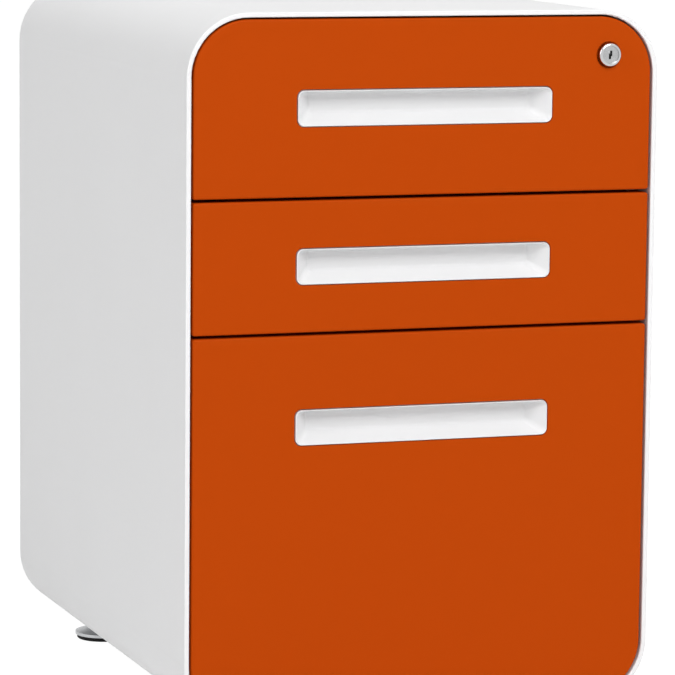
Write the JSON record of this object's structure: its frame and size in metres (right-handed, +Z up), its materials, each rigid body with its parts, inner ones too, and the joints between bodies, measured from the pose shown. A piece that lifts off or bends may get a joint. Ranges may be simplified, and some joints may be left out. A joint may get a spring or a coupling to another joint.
{
  "type": "metal filing cabinet",
  "caption": "Free-standing steel pedestal filing cabinet with rounded case corners, lockable drawers on ball-bearing slides, recessed cup handles and levelling feet.",
  "frame": {"origin": "centre of the footprint, on the floor under the feet", "axes": "+Z up, -Y out of the drawer fronts, +X to the right as seen from the front"},
  "size_m": [0.4, 0.524, 0.6],
  "materials": {
    "white_coat": "fine matt white powder coat",
    "orange_coat": "fine satin orange powder coat",
    "handle_coat": "satin white powder coat",
    "inner_coat": "white powder coat on the drawer boxes",
    "frame_coat": "white powder coat on the inner frame",
    "zinc_steel": "bright zinc plate",
    "ball_steel": "polished balls in a stamped cage",
    "chrome": "polished chrome bezel",
    "lock_plug": "satin nickel lock face",
    "foot_steel": "zinc-plated levelling foot",
    "black_rubber": "moulded black rubber pad"
  },
  "bodies": {
    "case": {"case_shell": "white_coat", "back_panel": "white_coat", "upright_front_left": "frame_coat", "upright_front_right": "frame_coat", "upright_rear_left": "frame_coat", "upright_rear_right": "frame_coat", "base_channel_front": "frame_coat", "base_channel_rear": "frame_coat", "foot_nuts": "zinc_steel", "slide_rivets": "zinc_steel", "lock_bar_guides": "zinc_steel", "top_slide_outer_left": "zinc_steel", "top_slide_outer_right": "zinc_steel", "middle_slide_outer_left": "zinc_steel", "middle_slide_outer_right": "zinc_steel", "file_slide_outer_left": "zinc_steel", "file_slide_outer_right": "zinc_steel"},
    "top_drawer": {"top_drawer_front": "orange_coat", "top_drawer_box": "inner_coat", "top_handle": "handle_coat", "top_drawer_screws": "zinc_steel", "top_slide_inner_left": "zinc_steel", "top_slide_inner_right": "zinc_steel", "lock_housing": "chrome", "lock_nut": "zinc_steel"},
    "top_slide_middle": {"top_slide_middle": "zinc_steel"},
    "top_outer_ball_cage": {"top_outer_ball_cage": "ball_steel"},
    "top_inner_ball_cage": {"top_inner_ball_cage": "ball_steel"},
    "middle_drawer": {"middle_drawer_front": "orange_coat", "middle_drawer_box": "inner_coat", "middle_handle": "handle_coat", "middle_drawer_screws": "zinc_steel", "middle_slide_inner_left": "zinc_steel", "middle_slide_inner_right": "zinc_steel"},
    "middle_slide_middle": {"middle_slide_middle": "zinc_steel"},
    "middle_outer_ball_cage": {"middle_outer_ball_cage": "ball_steel"},
    "middle_inner_ball_cage": {"middle_inner_ball_cage": "ball_steel"},
    "file_drawer": {"file_drawer_front": "orange_coat", "file_drawer_box": "inner_coat", "file_handle": "handle_coat", "file_drawer_screws": "zinc_steel", "file_slide_inner_left": "zinc_steel", "file_slide_inner_right": "zinc_steel", "file_hanging_rails": "inner_coat"},
    "file_slide_middle": {"file_slide_middle": "zinc_steel"},
    "file_outer_ball_cage": {"file_outer_ball_cage": "ball_steel"},
    "file_inner_ball_cage": {"file_inner_ball_cage": "ball_steel"},
    "lock_plug": {"lock_plug": "lock_plug", "lock_cam": "zinc_steel", "lock_cam_screw": "zinc_steel"},
    "lock_bar": {"lock_bar": "zinc_steel"},
    "foot_front_left": {"foot_front_left": "foot_steel", "foot_pad_front_left": "black_rubber"},
    "foot_front_right": {"foot_front_right": "foot_steel", "foot_pad_front_right": "black_rubber"},
    "foot_rear_left": {"foot_rear_left": "foot_steel", "foot_pad_rear_left": "black_rubber"},
    "foot_rear_right": {"foot_rear_right": "foot_steel", "foot_pad_rear_right": "black_rubber"}
  },
  "joints": [
    {"name": "top_drawer_slide", "type": "slide", "parent": "case", "child": "top_drawer", "axis": [0, -1, 0], "range_m": [0, 0.43]},
    {"name": "top_slide_middle_travel", "type": "slide", "parent": "case", "child": "top_slide_middle", "axis": [0, -1, 0], "range_m": [0, 0.215]},
    {"name": "top_outer_ball_cage_travel", "type": "slide", "parent": "case", "child": "top_outer_ball_cage", "axis": [0, -1, 0], "range_m": [0, 0.1075]},
    {"name": "top_inner_ball_cage_travel", "type": "slide", "parent": "case", "child": "top_inner_ball_cage", "axis": [0, -1, 0], "range_m": [0, 0.3225]},
    {"name": "middle_drawer_slide", "type": "slide", "parent": "case", "child": "middle_drawer", "axis": [0, -1, 0], "range_m": [0, 0.43]},
    {"name": "middle_slide_middle_travel", "type": "slide", "parent": "case", "child": "middle_slide_middle", "axis": [0, -1, 0], "range_m": [0, 0.215]},
    {"name": "middle_outer_ball_cage_travel", "type": "slide", "parent": "case", "child": "middle_outer_ball_cage", "axis": [0, -1, 0], "range_m": [0, 0.1075]},
    {"name": "middle_inner_ball_cage_travel", "type": "slide", "parent": "case", "child": "middle_inner_ball_cage", "axis": [0, -1, 0], "range_m": [0, 0.3225]},
    {"name": "file_drawer_slide", "type": "slide", "parent": "case", "child": "file_drawer", "axis": [0, -1, 0], "range_m": [0, 0.43]},
    {"name": "file_slide_middle_travel", "type": "slide", "parent": "case", "child": "file_slide_middle", "axis": [0, -1, 0], "range_m": [0, 0.215]},
    {"name": "file_outer_ball_cage_travel", "type": "slide", "parent": "case", "child": "file_outer_ball_cage", "axis": [0, -1, 0], "range_m": [0, 0.1075]},
    {"name": "file_inner_ball_cage_travel", "type": "slide", "parent": "case", "child": "file_inner_ball_cage", "axis": [0, -1, 0], "range_m": [0, 0.3225]},
    {"name": "lock_turn", "type": "hinge", "parent": "top_drawer", "child": "lock_plug", "pos_m": [0.157, -0.25, 0.5635], "axis": [0, -1, 0], "range_deg": [0, 90]},
    {"name": "lock_bar_lift", "type": "slide", "parent": "case", "child": "lock_bar", "axis": [0, 0, 1], "range_m": [0, 0.0099]},
    {"name": "foot_front_left_height", "type": "slide", "parent": "case", "child": "foot_front_left", "axis": [0, 0, -1], "range_m": [0, 0.01]},
    {"name": "foot_front_right_height", "type": "slide", "parent": "case", "child": "foot_front_right", "axis": [0, 0, -1], "range_m": [0, 0.01]},
    {"name": "foot_rear_left_height", "type": "slide", "parent": "case", "child": "foot_rear_left", "axis": [0, 0, -1], "range_m": [0, 0.01]},
    {"name": "foot_rear_right_height", "type": "slide", "parent": "case", "child": "foot_rear_right", "axis": [0, 0, -1], "range_m": [0, 0.01]}
  ],
  "couplings": [
    {"joint": "top_slide_middle_travel", "follows": "top_drawer_slide", "ratio": 0.5},
    {"joint": "top_outer_ball_cage_travel", "follows": "top_drawer_slide", "ratio": 0.25},
    {"joint": "top_inner_ball_cage_travel", "follows": "top_drawer_slide", "ratio": 0.75},
    {"joint": "middle_slide_middle_travel", "follows": "middle_drawer_slide", "ratio": 0.5},
    {"joint": "middle_outer_ball_cage_travel", "follows": "middle_drawer_slide", "ratio": 0.25},
    {"joint": "middle_inner_ball_cage_travel", "follows": "middle_drawer_slide", "ratio": 0.75},
    {"joint": "file_slide_middle_travel", "follows": "file_drawer_slide", "ratio": 0.5},
    {"joint": "file_outer_ball_cage_travel", "follows": "file_drawer_slide", "ratio": 0.25},
    {"joint": "file_inner_ball_cage_travel", "follows": "file_drawer_slide", "ratio": 0.75},
    {"joint": "lock_turn", "follows": "lock_bar_lift", "rad_per_m": 158.6}
  ]
}
